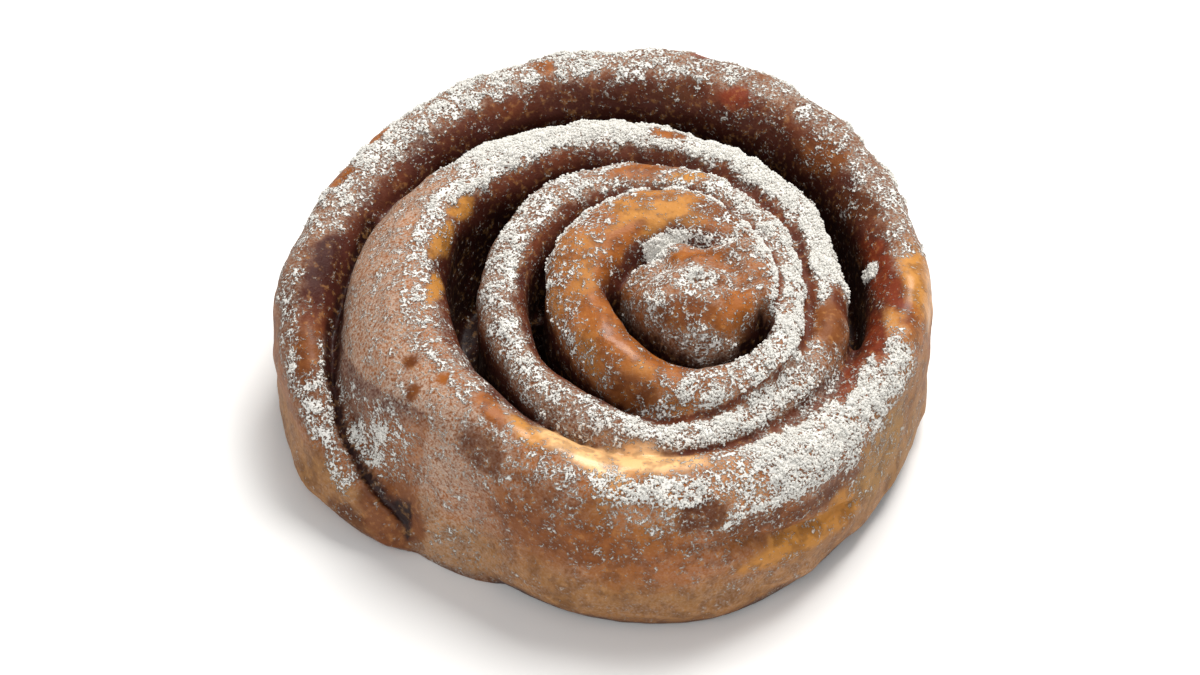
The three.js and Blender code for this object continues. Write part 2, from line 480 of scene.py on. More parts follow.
SADDLES = (
    # between the knob and the turn behind it
    Saddle(128, 12.8, 32.5, 7.0, 3.6, 5.8),
    Saddle(92, 12.8, 35.5, 6.5, 4.0, 5.6),
    Saddle(64, 13.5, 35.5, 6.5, 4.4, 5.8),
    Saddle(36, 12.5, 34.0, 6.5, 4.0, 6.0),
    # the cheek's foot beside the tail
    Saddle(201, 46.3, 4.5, 18.0, 6.0, 13.0, 31),
)


@dataclass(frozen=True)
class Crease:
    """A line along which the dough is pressed in, or raised where the depth is negative.

    line gives its points, each a heading in degrees and a reach from the eye. width is
    half its width, and level the height below which it fades. A bare one holds no sugar
    and is painted near-black, the cinnamon darkened as painted shade.
    """

    line: tuple[tuple[float, float], ...]
    depth: float
    width: float
    level: float = 26.0
    bare: bool = False


CREASES = (
    # the gap round the front of the knob, painted near-black: the cinnamon darkened as painted
    # shade
    Crease(
        ((161, 13.9), (181, 11.4), (203, 9.8), (230, 9.0), (254, 9.0), (279, 9.6)),
        8.0, 1.3, bare=True,
    ),
    Crease(((279, 9.6), (308, 10.5), (334, 11.0), (352, 11.6)), 8.0, 1.2, bare=True),
    # the fold behind it, and the ridge of the knob's own edge
    Crease(
        ((161, 13.9), (149, 14.6), (128, 14.1), (115, 14.6), (102, 14.3), (84, 13.0)),
        2.2, 1.2,
    ),
    Crease(((84, 13.0), (69, 13.1), (56, 16.0)), 1.0, 1.0),
    Crease(((135, 11.3), (116, 10.5), (93, 8.8), (63, 10.0), (51, 14.0)), -1.6, 1.4),
    Crease(((114, 1.7), (14, 4.3), (14, 8.6), (18, 12.3)), 1.4, 0.9),
    Crease(((200, 6.0), (150, 4.0), (100, 4.0), (50, 5.5)), -0.8, 2.0),
    # the flake of crust on the middle turn's outer edge
    Crease(((54, 35.6), (60, 35.2)), -1.2, 0.9),
    # the seam between the tail and the turn inside it, painted near-black as shade like the gap
    Crease(
        ((152, 63.1), (157, 62.3), (165, 61.4), (173, 61.6), (180, 61.0)),
        1.8, 1.1, -4.0, True,
    ),
    Crease(
        ((180, 61.0), (189, 59.3), (195, 57.0), (200, 54.0), (203, 51.8)),
        1.6, 0.85, -4.0, True,
    ),
)


# ------------------------------------------------------------------ patches


@dataclass(frozen=True)
class Patch:
    """A place on the roll that is barer, whiter or of another colour than round it.

    heading and reach give its middle, seen from the eye, and height the level it lies
    at. along, across and tall are half its lengths round the roll, away from the eye
    and upwards. tint is its crust, sugar its cover and gloss its shine, each left alone
    where it is None. strength is how much of them it takes, and slant turns it in plan,
    in degrees.
    """

    heading: float
    reach: float
    height: float
    along: float
    across: float
    tall: float = 6.0
    tint: Tint | None = None
    sugar: float | None = None
    gloss: float | None = None
    strength: float = 1.0
    slant: float = 0.0


PATCHES = (
    # the golden bare top of the rim on the right, and the rust-red wall inside it
    Patch(16, 41.0, 32, 11, 4.6, 9, Tint.GOLD, 0.04, 0.8, slant=-14),
    Patch(4, 37.5, 27, 6, 2.6, 7, Tint.AMBER, 0.12, 0.6, 0.8),
    Patch(23, 36.3, 29, 13, 2.6, 6, Tint.RUST, 0.12, 0.7, slant=-10),
    Patch(2, 30.5, 29, 9, 2.0, 6, Tint.RUST, 0.08, 0.7),
    Patch(342, 27.0, 29, 7, 1.6, 5, Tint.RUST, 0.15, 0.5, 0.8),
    Patch(31, 36.5, 27.5, 2.0, 1.6, 3, None, 1.0),
    Patch(48, 44.0, 31, 6, 2.6, 5, Tint.CHESTNUT, 0.24, 0.4),
    Patch(61, 50.0, 33, 6, 3.0, 5, Tint.TOFFEE, 0.30, 0.4, 0.8),
    # red spots on the back rim
    Patch(81, 58.6, 35, 3.6, 2.4, 5, Tint.RUST, 0.06, 0.6),
    Patch(86, 69.5, 34, 3.6, 2.4, 6, Tint.RUST, 0.10, 0.5),
    Patch(91, 61.0, 35, 5.5, 2.2, 5, Tint.CHESTNUT, 0.28, 0.4, 0.8),
    Patch(112, 70.0, 34, 2.6, 2.0, 6, Tint.AMBER, 0.15, 0.4),
    Patch(139, 74.0, 33, 3.2, 2.4, 6, Tint.AMBER, 0.15, 0.4),
    Patch(148, 73.0, 33, 3.6, 2.6, 6, Tint.AMBER, 0.12, 0.4),
    # the flake of crust on the middle turn's outer edge
    Patch(57, 35.4, 32.5, 2.8, 1.5, 4, Tint.AMBER, 0.18, 0.4),
    # the back of the middle turns
    Patch(95, 43.5, 38, 3.5, 1.8, 4, Tint.AMBER, 0.15, 0.5),
    Patch(104, 34.0, 39, 7, 2.0, 4, Tint.AMBER, 0.12, 0.6),
    Patch(90, 31.0, 39, 4, 1.6, 4, Tint.GOLD, 0.35, 0.6),
    # the gold top of the inner turn, and its orange left and front
    Patch(113, 18.6, 42, 8.5, 2.8, 6, Tint.GOLD, 0.02, 0.4, 0.8, slant=8),
    Patch(133, 17.6, 42, 6, 2.0, 6, Tint.AMBER, 0.10, 0.6),
    Patch(150, 16.5, 41, 5, 1.6, 6, Tint.AMBER, 0.15, 0.6),
    Patch(74, 20.0, 42, 6, 3.6, 5, Tint.TOFFEE, 0.40, 0.3),
    Patch(190, 15.5, 39, 6, 3.6, 7, Tint.AMBER, 0.10, 0.7),
    Patch(213, 15.0, 37, 6, 4.0, 7, Tint.AMBER, 0.14, 0.8),
    Patch(240, 12.5, 35, 6, 2.2, 6, Tint.AMBER, 0.14, 0.8),
    Patch(234, 18.0, 33, 6, 2.4, 4, Tint.TOFFEE, 0.12, 0.4),
    # the knob in the eye
    Patch(88, 9.3, 41, 6, 1.8, 5, Tint.AMBER, 0.16, 0.6),
    Patch(262, 4.5, 40, 6.5, 2.8, 6, Tint.TOFFEE, 0.20, 0.4),
    Patch(340, 7.5, 40, 5, 3.4, 6, Tint.AMBER, 0.22, 0.4),
    Patch(108, 14.3, 39, 4.5, 1.7, 4, None, 0.95, 0.0),
    # the orange bare stretch of the second turn on the right
    Patch(1, 22.6, 34, 6.0, 3.2, 6, Tint.TOFFEE, 0.0, 0.5),
    Patch(12, 25.4, 33, 3.5, 1.8, 5, Tint.RUSSET, 0.05, 0.6),
    # the left crest of the second turn, and the small bare spots below it
    Patch(147, 47.0, 38, 3.5, 1.7, 5, Tint.GOLD, 0.12, 0.5, 0.9),
    Patch(157, 46.0, 37, 5, 1.5, 5, Tint.GOLD, 0.12, 0.5, 0.9),
    Patch(170, 43.5, 36, 6, 1.4, 5, Tint.GOLD, 0.22, 0.5, 0.9),
    Patch(191, 47.2, 34.7, 1.6, 1.5, 3, Tint.TOFFEE, 0.0, 0.4),
    Patch(198, 42.9, 34.5, 1.3, 1.2, 3, Tint.AMBER, 0.0, 0.4),
    Patch(197, 48.0, 32.0, 1.5, 1.4, 3, Tint.TOFFEE, 0.0, 0.4),
    # the front rim: orange, then a glossy golden shoulder lightened by a painted highlight, and
    # red-brown below
    Patch(210, 38.0, 33, 4.0, 1.9, 4, Tint.AMBER, 0.10, 0.6),
    Patch(220, 35.5, 32, 5, 1.8, 4, Tint.GOLD, 0.18, 0.9),
    Patch(234, 32.0, 31, 9, 3.2, 5, Tint.HONEY_AND_HIGHLIGHT, 0.04, 1.0),
    Patch(251, 28.4, 30, 8, 3.2, 5, Tint.HONEY_AND_HIGHLIGHT, 0.04, 1.0),
    Patch(266, 27.4, 30, 4, 1.8, 4, Tint.HONEY_AND_HIGHLIGHT, 0.20, 0.8, 0.8),
    Patch(216, 42.5, 29.5, 6, 3.5, 4.5, Tint.CHESTNUT, 0.12, 0.2, 0.8),
    Patch(236, 40.0, 22, 14, 5, 9, Tint.TOFFEE, 0.10, 0.2, 0.7),
    Patch(256, 39.0, 19, 12, 5, 9, Tint.AMBER, 0.12, 0.2, 0.5),
    Patch(271, 35.2, 26, 6.0, 3.5, 3.0, Tint.CHESTNUT, 0.12, 0.2, 0.9),
    Patch(286, 35.0, 22, 8, 3.5, 2.0, Tint.CHESTNUT, 0.25, 0.2, 0.7),
    Patch(305, 34.0, 19.5, 9, 3.5, 2.0, Tint.CHESTNUT, 0.25, 0.2, 0.7),
    Patch(296, 34.5, 14.0, 12, 4, 3.5, Tint.GOLD, 0.12, 0.2, 0.9),
    Patch(318, 33.5, 14.0, 9, 4, 4.0, Tint.GOLD, 0.16, 0.2, 0.9),
    Patch(336, 34.0, 17.0, 10, 4, 9.0, Tint.STRAW, 0.28, 0.2, 0.8),
    Patch(353, 37.0, 17.0, 13, 8, 14.0, Tint.STRAW, 0.30, 0.1, 0.45),
    # the ragged lower edge of the sugar on the front wall
    Patch(248, 34.5, 29.3, 6, 2.6, 2.6, None, 0.66),
    Patch(264, 33.0, 29.0, 7, 2.8, 3.0, None, 0.74),
    # the tail turn on the left
    Patch(171, 64.5, 27, 6, 3.2, 6, Tint.RUSSET, 0.10, 0.5, 0.95),
    Patch(178, 65.0, 24.5, 6.5, 2.4, 6, Tint.TOFFEE, 0.10, 0.6),
    Patch(164, 65.0, 27, 10, 4.6, 9, Tint.MAROON, 0.0, 0.4),
    Patch(163, 66.0, 25, 8, 3.4, 7, Tint.FILLING_IN_SHADE, 0.0, 0.3, 0.5),
    Patch(187, 63.5, 20, 8, 2.4, 6, None, 0.56),
    Patch(192, 60.5, 13, 7, 2.6, 5, None, 0.50, 0.3),
    Patch(202, 54.0, 8, 8, 6.5, 9, Tint.TOFFEE, 0.0, 0.7),
    Patch(196, 61.0, 4, 6, 4, 4, Tint.CHESTNUT, 0.2, 0.3, 0.8),
)


# ------------------------------------------------------------------ the dough


@dataclass(frozen=True)
class Zones:
    """Where each kind of surface lies, one value from about 0 to 1 per point.

    cover is how thick the sugar is, and baked how dark the crust. wall is the outer wall,
    groove the sides and floor of a groove, deep its floor, and inner_wall the side of a
    turn that faces the eye.
    """

    cover: np.ndarray
    baked: np.ndarray
    wall: np.ndarray
    groove: np.ndarray
    deep: np.ndarray
    inner_wall: np.ndarray


@dataclass
class Dough:
    """The roll's dough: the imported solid's copy, with its baked surface.

    eye is the middle of the spiral. voxel is the fine mesh's cell and smoothing its rounds
    of smoothing. A groove is up to groove_width wide, and grid_half is half the size of the
    1 mm grid that finds them. fields holds what is known of each point, by name.
    """

    eye: Vector
    voxel: float = 0.75
    smoothing: int = 5
    groove_width: float = 14.0
    grid_half: int = 66
    mesh: bpy.types.Mesh | None = None
    points: np.ndarray = field(default_factory=lambda: np.zeros((0, 3)))
    normals: np.ndarray = field(default_factory=lambda: np.zeros((0, 3)))
    fields: dict[str, np.ndarray] = field(default_factory=dict)

    def build(self) -> bpy.types.Object:
        """Makes the dough's object, shaped and painted.

        Returns:
            The object, at the origin.
        """
        self.mesh = self._fine_copy()
        self._read()
        self._find_turns()
        self._swell()
        self._measure()
        self._paint()
        self._roughen()
        piece = bpy.data.objects.new("dough", self.mesh)
        bpy.context.scene.collection.objects.link(piece)
        self.mesh.materials.clear()
        self.mesh.materials.append(BakedDough().material())
        self.mesh.polygons.foreach_set("use_smooth", np.ones(len(self.mesh.polygons), bool))
        return piece

    def _fine_copy(self) -> bpy.types.Mesh:
        """Copies the solid's mesh, adds the saddles, remeshes it finely and smooths it.

        Returns:
            The new mesh.
        """
        coarse = bmesh.new()
        coarse.from_mesh(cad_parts[NODE].data)
        bmesh.ops.remove_doubles(coarse, verts=coarse.verts, dist=0.01 * MM)
        self._add_saddles(coarse)
        start = bpy.data.meshes.new("dough_start")
        coarse.to_mesh(start)
        coarse.free()
        holder = bpy.data.objects.new("dough_start", start)
        bpy.context.scene.collection.objects.link(holder)
        remesh = holder.modifiers.new("fine", "REMESH")
        remesh.mode = "VOXEL"
        remesh.voxel_size = self.voxel * MM
        soften = holder.modifiers.new("soften", "SMOOTH")
        soften.iterations = self.smoothing
        soften.factor = 0.5
        graph = bpy.context.evaluated_depsgraph_get()
        mesh = bpy.data.meshes.new_from_object(holder.evaluated_get(graph))
        mesh.name = "dough"
        bpy.data.objects.remove(holder)
        return mesh

    def _add_saddles(self, coarse: bmesh.types.BMesh) -> None:
        """Fills the hollows between the knob and its turn, and beside the tail.

        Args:
            coarse: the solid's copy, to which the saddles are added.
        """
        for saddle in SADDLES:
            angle = math.radians(saddle.heading)
            outward = Vector((math.cos(angle), math.sin(angle), 0.0))
            up = Vector((0.0, 0.0, saddle.height))
            place = self.eye + (outward * saddle.reach + up) * MM
            sizes = (saddle.across * MM, saddle.along * MM, saddle.tall * MM, 1.0)
            turn = Matrix.Rotation(angle + math.radians(saddle.slant), 4, "Z")
            matrix = Matrix.Translation(place) @ turn @ Matrix.Diagonal(sizes)
            bmesh.ops.create_icosphere(coarse, subdivisions=3, radius=1.0, matrix=matrix)

    def _read(self) -> None:
        """Reads the mesh's points and normals, in millimetres."""
        count = len(self.mesh.vertices)
        flat = np.zeros(count * 3)
        self.mesh.vertices.foreach_get("co", flat)
        self.points = flat.reshape(-1, 3) / MM
        flat = np.zeros(count * 3)
        self.mesh.vertices.foreach_get("normal", flat)
        self.normals = flat.reshape(-1, 3)

    def _write(self, points: np.ndarray) -> None:
        """Moves the mesh's points, keeping them above the flat base.

        Args:
            points: their new places, in millimetres.
        """
        points[:, 2] = np.maximum(points[:, 2], 0.0)
        self.mesh.vertices.foreach_set("co", (points * MM).ravel())
        self.mesh.update()
        self._read()

    def _flat(self) -> tuple[np.ndarray, np.ndarray]:
        """Each point's place in plan, measured from the eye."""
        return self.points[:, 0] - self.eye.x / MM, self.points[:, 1] - self.eye.y / MM

    def _find_turns(self) -> None:
        """Finds which stretch of the strip each point belongs to, and on which side."""
        x, y = self._flat()
        heading = np.degrees(np.arctan2(y, x)) % 360.0
        reach = np.hypot(x, y)
        turns, crests, inners, outers = np.array(CREST_LINE, float)[::-1].T
        best = np.full(len(x), np.inf)
        turn = np.zeros(len(x))
        side = np.zeros(len(x))
        outermost = np.zeros(len(x), bool)
        taken = np.zeros(len(x), bool)
        for wound in range(1, TIMES_WOUND + 1):
            here = heading - 360.0 * wound
            allowed = (here <= FIRST_TURN) & (here >= LAST_TURN)
            offset = reach - np.interp(here, turns, crests)
            outer = np.interp(here, turns, outers)
            extent = np.where(offset > 0, outer, np.interp(here, turns, inners))
            score = np.where(allowed, np.abs(offset) / extent, np.inf)
            better = score < best
            best = np.where(better, score, best)
            turn = np.where(better, here, turn)
            side = np.where(better, offset / extent, side)
            outermost = np.where(better, allowed & ~taken, outermost)
            taken |= allowed
        knob = np.interp(heading, *np.array(KNOB_EDGE, float).T)
        self.fields.update(
            heading=heading,
            reach=reach,
            turn=turn,
            side=side,
            outermost=outermost,
            knob=1 - smooth_step(-0.6, 0.4, reach - knob),
        )

    def weight(self, patch: Patch, ragged: np.ndarray) -> np.ndarray:
        """How far each point lies inside a patch.

        Args:
            patch: the patch.
            ragged: noise that breaks up its edge.

        Returns:
            0 outside it, 1 well inside.
        """
        angle = math.radians(patch.heading)
        turn = angle + math.radians(patch.slant)
        x, y = self._flat()
        x = x - patch.reach * math.cos(angle)
        y = y - patch.reach * math.sin(angle)
        outward = (x * math.cos(turn) + y * math.sin(turn)) / patch.across
        around = (y * math.cos(turn) - x * math.sin(turn)) / patch.along
        up = (self.points[:, 2] - patch.height) / patch.tall
        distance = np.sqrt(outward**2 + around**2 + up**2) + 0.45 * ragged
        return 1.0 - smooth_step(0.62, 1.14, distance)

    def _swell(self) -> None:
        """Gives the dough its lumps, folds, creases and wrinkles."""
        heading = self.fields["heading"]
        reach = self.fields["reach"]
        points = self.points
        lumps = 0.75 * perlin(points, 11.0, 1.0) + 0.42 * perlin(points, 5.0, 2.0)
        along = np.radians(heading) * reach
        ribs = perlin(np.stack([along, reach * 0.25, points[:, 2] * 0.2], 1), 2.2, 3.0)
        left = smooth_step(150, 163, heading) * (1 - smooth_step(196, 206, heading))
        beyond = np.abs(self.fields["side"])
        tail = left * smooth_step(61, 64, reach) * smooth_step(1.4, 0.7, beyond)
        still = smooth_step(0.4, 3.0, points[:, 2])
        move = (lumps + 0.30 * ribs * tail + self._wall_crease()) * still
        sink = np.zeros(len(points))
        gap = np.zeros(len(points))
        for crease in CREASES:
            pressed = self._pressed(crease)
            sink += pressed
            if crease.bare:
                gap = np.maximum(gap, pressed / crease.depth)
        self.fields["gap"] = smooth_step(0.15, 0.5, gap)
        moved = points + self.normals * move[:, None]
        moved[:, 2] -= sink
        self._write(moved)

    def _pressed(self, crease: Crease) -> np.ndarray:
        """How far a crease presses each point down.

        Args:
            crease: the crease.

        Returns:
            Millimetres downwards, one value per point.
        """
        x, y = self._flat()
        wander = 0.35 * perlin(self.points, 2.2, 31.0)
        route = [(math.radians(heading), reach) for heading, reach in crease.line]
        corners = [(reach * math.cos(angle), reach * math.sin(angle)) for angle, reach in route]
        nearest = np.full(len(x), np.inf)
        for (ax, ay), (bx, by) in zip(corners, corners[1:]):
            dx, dy = bx - ax, by - ay
            share = np.clip(((x - ax) * dx + (y - ay) * dy) / (dx * dx + dy * dy), 0.0, 1.0)
            nearest = np.minimum(nearest, np.hypot(x - ax - share * dx, y - ay - share * dy))
        near = np.exp(-(((nearest + wander) / crease.width) ** 2))
        return crease.depth * near * smooth_step(crease.level, crease.level + 4, self.points[:, 2])

    def _wall_crease(self) -> np.ndarray:
        """The long crease of the front wall, with the bulge under it, and the rim's split.

        Returns:
            Millimetres outwards, one value per point.
        """
        heading = self.fields["heading"]
        reach = self.fields["reach"]
        height = self.points[:, 2]
        wander = perlin(self.points, 6.0, 9.0)

        line = 20.5 - 0.15 * (heading - 270) + 0.9 * wander
        span = smooth_step(262, 274, heading) * (1 - smooth_step(318, 328, heading))
        outside = smooth_step(29, 31, reach)
        crease = -1.2 * np.exp(-(((height - line) / 0.9) ** 2))
        bulge = 0.8 * np.exp(-(((height - line + 3.4) / 2.4) ** 2))
        move = (crease + bulge) * span * outside

        split = heading - 355 - 0.9 * wander - 0.35 * (reach - 32)
        near = smooth_step(28.5, 30, reach) * (1 - smooth_step(35, 36.5, reach))
        top = smooth_step(27, 29, height)
        return move - 1.3 * np.exp(-((split / 0.9) ** 2)) * near * top

    def _measure(self) -> None:
        """Finds how deep in a groove each point lies, and which way it faces."""
        half = self.grid_half
        size = 2 * half + 1
        column = np.clip(np.round(self.points[:, 0]).astype(int) + half, 0, size - 1)
        row = np.clip(np.round(self.points[:, 1]).astype(int) + half, 0, size - 1)
        top = np.zeros((size, size))
        np.maximum.at(top, (column, row), self.points[:, 2])
        reach = round(self.groove_width / 2)
        closed = self._filter(self._filter(top, reach, np.maximum), reach, np.minimum)
        self.fields["depth"] = np.maximum(closed[column, row] - self.points[:, 2], 0.0)
        self.fields["up"] = self.normals[:, 2]

    @staticmethod
    def _filter(grid: np.ndarray, reach: int, pick: Callable) -> np.ndarray:
        """The highest or lowest value within a disc round each cell.

        Args:
            grid: heights on a grid of 1 mm.
            reach: the disc's radius in cells.
            pick: np.maximum for the highest, np.minimum for the lowest.

        Returns:
            The picked values, on the same grid.
        """
        best = grid.copy()
        for i in range(-reach, reach + 1):
            for j in range(-reach, reach + 1):
                if i * i + j * j <= reach * reach:
                    best = pick(best, np.roll(grid, (i, j), (0, 1)))
        return best

    def _paint(self) -> None:
        """Paints the crust's colour, the sugar's cover, the dust and the gloss."""
        facts = self.fields
        ragged = fractal(self.points, 2.6, 11.0)
        broad = fractal(self.points, 7.0, 14.0, 2)
        zones = self._zones(ragged, broad)
        crust = self._crust(zones, broad)
        sugar, dust = self._powder(zones, ragged, broad)
        gloss = 0.22 + 0.40 * zones.groove

        for patch in PATCHES:
            weight = self.weight(patch, ragged) * patch.strength
            if patch.tint is not None:
                crust += (np.array(patch.tint.value) - crust) * weight[:, None]
                dust *= 1 - weight
            if patch.sugar is not None:
                sugar += (patch.sugar + 0.15 * ragged - sugar) * weight
            if patch.gloss is not None:
                gloss += (patch.gloss - gloss) * weight

        # the creases' gaps: painted near-black, the cinnamon darkened as painted shade
        crust += (np.array(Tint.FILLING_IN_SHADE.value) - crust) * facts["gap"][:, None]
        sugar *= 1 - facts["gap"]
        dust *= 1 - facts["gap"]
        under = smooth_step(-0.1, -0.7, facts["up"])
        facts["sugar"] = np.clip(sugar, 0.0, 1.0) * (1 - under)
        self._attribute("sugar", facts["sugar"])
        self._attribute("dust", np.clip(dust, 0.0, 1.0) * (1 - under))
        self._attribute("gloss", np.clip(gloss, 0.0, 1.0))
        colours = self.mesh.attributes.new("crust", "FLOAT_COLOR", "POINT")
        rows = np.concatenate([np.clip(crust, 0.0, 1.0), np.ones((len(crust), 1))], 1)
        colours.data.foreach_set("color", rows.astype(np.float32).ravel())

    def _zones(self, ragged: np.ndarray, broad: np.ndarray) -> Zones:
        """Finds where each kind of surface lies.

        Args:
            ragged: fine noise that breaks up the edges.
            broad: wide noise that makes places differ.

        Returns:
            The zones.
        """
        facts = self.fields
        turns, inner, crest, outer, bake = np.array(COVER_LINE, float)[::-1].T
        turn = facts["turn"] + 6.0 * broad
        side = facts["side"] + 0.22 * ragged
        inward = smooth_step(-0.28, -0.70, side)
        outward = smooth_step(0.45, 0.95, side)
        cover = np.interp(turn, turns, crest)
        cover = cover + (np.interp(turn, turns, inner) - cover) * inward
        cover = cover + (np.interp(turn, turns, outer) - cover) * outward
        baked = np.interp(turn, turns, bake) + 0.35 * broad
        cover = cover + (0.41 + 0.20 * broad - cover) * facts["knob"]
        baked = baked + (0.56 + 0.3 * broad - baked) * facts["knob"]

        wall = facts["outermost"] * smooth_step(0.75, 1.1, facts["side"])
        hollow = (1 - wall) * (1 - facts["knob"])
        groove = hollow * smooth_step(1.6, 5.0, facts["depth"] + 1.6 * ragged)
        beside_tail = smooth_step(176, 184, facts["heading"])
        beside_tail = beside_tail * smooth_step(214, 208, facts["heading"])
        beside_tail = beside_tail * smooth_step(43, 47, facts["reach"])
        groove *= 1 - beside_tail
        groove *= smooth_step(10, 15.5, facts["reach"])
        return Zones(
            cover=cover,
            baked=baked,
            wall=wall,
            groove=groove,
            deep=smooth_step(3.5, 9.0, facts["depth"] + 1.5 * ragged),
            inner_wall=hollow * inward * smooth_step(0.02, 0.10, baked),
        )

    def _crust(self, zones: Zones, broad: np.ndarray) -> np.ndarray:
        """The crust's colour before the patches are laid on.

        Args:
            zones: where each kind of surface lies.
            broad: wide noise that makes places differ.

        Returns:
            One colour per point.
        """
        crust = self._baked(zones.baked)
        red = self._blend(Tint.RUSSET, Tint.MAROON, 0.5 + broad)
        crust += (red - crust) * zones.inner_wall[:, None]
        # the groove: the cinnamon's dark brown, painted darker as shade the deeper it lies
        filling_and_shade = self._blend(Tint.MAROON, Tint.FILLING_IN_SHADE, zones.deep)
        crust += (filling_and_shade - crust) * zones.groove[:, None]
        wall = self._wall_colour(self.points[:, 2], broad)
        return crust + (wall - crust) * zones.wall[:, None]

    def _powder(
        self, zones: Zones, ragged: np.ndarray, broad: np.ndarray
    ) -> tuple[np.ndarray, np.ndarray]:
        """The sugar's cover and the thin dust, before the patches are laid on.

        Args:
            zones: where each kind of surface lies.
            ragged: fine noise that breaks up the edges.
            broad: wide noise that makes places differ.

        Returns:
            The cover and the dust, one value per point.
        """
        facts = self.fields
        height = self.points[:, 2]
        groove, wall = zones.groove, zones.wall

        sugar = 1.07 * zones.cover + 0.34 * ragged + 0.14 * broad
        sugar *= 1 - groove * smooth_step(0.0, 0.7, zones.deep + 0.55)
        on_wall = -0.02 + 0.24 * ragged + 0.18 * broad
        sugar += (on_wall - sugar) * wall
        sugar += 0.05 * groove

        dust = (0.24 + 0.25 * broad) * (1 - 0.9 * zones.inner_wall) * (1 - 0.92 * groove)
        dust += 0.62 * smooth_step(0.18, 0.55, sugar) * (1 - groove)
        below_rim = smooth_step(19, 29, height)
        dust += (0.24 + 0.42 * broad + 0.16 * below_rim - dust) * wall

        # the dusty cheek beside the tail
        cheek = smooth_step(-590, -570, facts["turn"]) * smooth_step(-492, -506, facts["turn"])
        cheek = cheek * smooth_step(0.0, 0.25, facts["side"]) * (1 - groove)
        dust += (0.90 - dust) * cheek * (0.35 + 0.65 * smooth_step(9, 21, height))
        sugar += (0.20 + 0.16 * ragged - sugar) * cheek * 0.85

        # the tail itself, and the barer turn next to the knob
        tail = smooth_step(-204, -196, facts["turn"]) * (1 - groove) * (1 - wall)
        dust += (0.42 - dust) * tail
        innermost = smooth_step(-1150, -1180, facts["turn"]) * (1 - facts["knob"])
        dust *= 1 - 0.6 * innermost
        return sugar, dust

    @staticmethod
    def _baked(share: np.ndarray) -> np.ndarray:
        """The crust's colour.

        Args:
            share: how dark it is, from 0 for gold to 1 for chestnut.

        Returns:
            One colour per point.
        """
        tints = (Tint.GOLD, Tint.AMBER, Tint.TOFFEE, Tint.CHESTNUT)
        stops = np.linspace(0.0, 1.0, len(tints))
        parts = zip(*(tint.value for tint in tints))
        return np.stack([np.interp(share, stops, part) for part in parts], 1)

    @staticmethod
    def _blend(first: Tint, second: Tint, share: np.ndarray) -> np.ndarray:
        """First turning into second as share goes from 0 to 1, one row per point."""
        kept = np.clip(share, 0.0, 1.0)[:, None]
        return np.array(first.value) * (1 - kept) + np.array(second.value) * kept

    def _wall_colour(self, height: np.ndarray, broad: np.ndarray) -> np.ndarray:
        """The outer wall's crust: browner near the rim, paler low down, brown at the foot.

        Args:
            height: each point's height.
            broad: wide noise that makes places differ.

        Returns:
            One colour per point.
        """
        along = np.radians(self.fields["heading"]) * 36.0
        streaks = fractal(np.stack([along * 0.16, height * 0.9, along * 0.0], 1), 2.4, 41.0, 2)
        body = self._blend(Tint.TOFFEE, Tint.AMBER, 0.5 + broad + 0.8 * streaks)
        chestnut = np.array(Tint.CHESTNUT.value)
        straw = np.array(Tint.STRAW.value)
        body += (chestnut - body) * (0.6 * smooth_step(0.18, 0.5, streaks))[:, None]
        low = 1 - smooth_step(9, 18, height + 4 * broad)
        wall = body + (straw - body) * (0.5 * low)[:, None]
        foot = 1 - smooth_step(0.8, 2.6, height + broad)
        return wall + (chestnut - wall) * (0.8 * foot)[:, None]

    def _attribute(self, name: str, values: np.ndarray) -> None:
        """Stores one number per point."""
        layer = self.mesh.attributes.new(name, "FLOAT", "POINT")
        layer.data.foreach_set("value", values.astype(np.float32))

    def _roughen(self) -> None:
        """Raises the sugar in clumps, and leaves the crust finely puckered."""
        sugar = self.fields["sugar"]
        clumps = fractal(self.points, 3.0, 21.0)
        fine = perlin(self.points, 1.5, 25.0)
        cover = smooth_step(0.30, 0.85, sugar)
        self.fields["clump"] = clumps + 0.5 * fine
        move = cover * (0.20 + 0.72 * clumps + 0.34 * fine) + (1 - cover) * 0.07 * fine
        still = smooth_step(0.4, 2.0, self.points[:, 2])
        self._write(self.points + self.normals * (move * still)[:, None])


# ------------------------------------------------------------------ the sugar


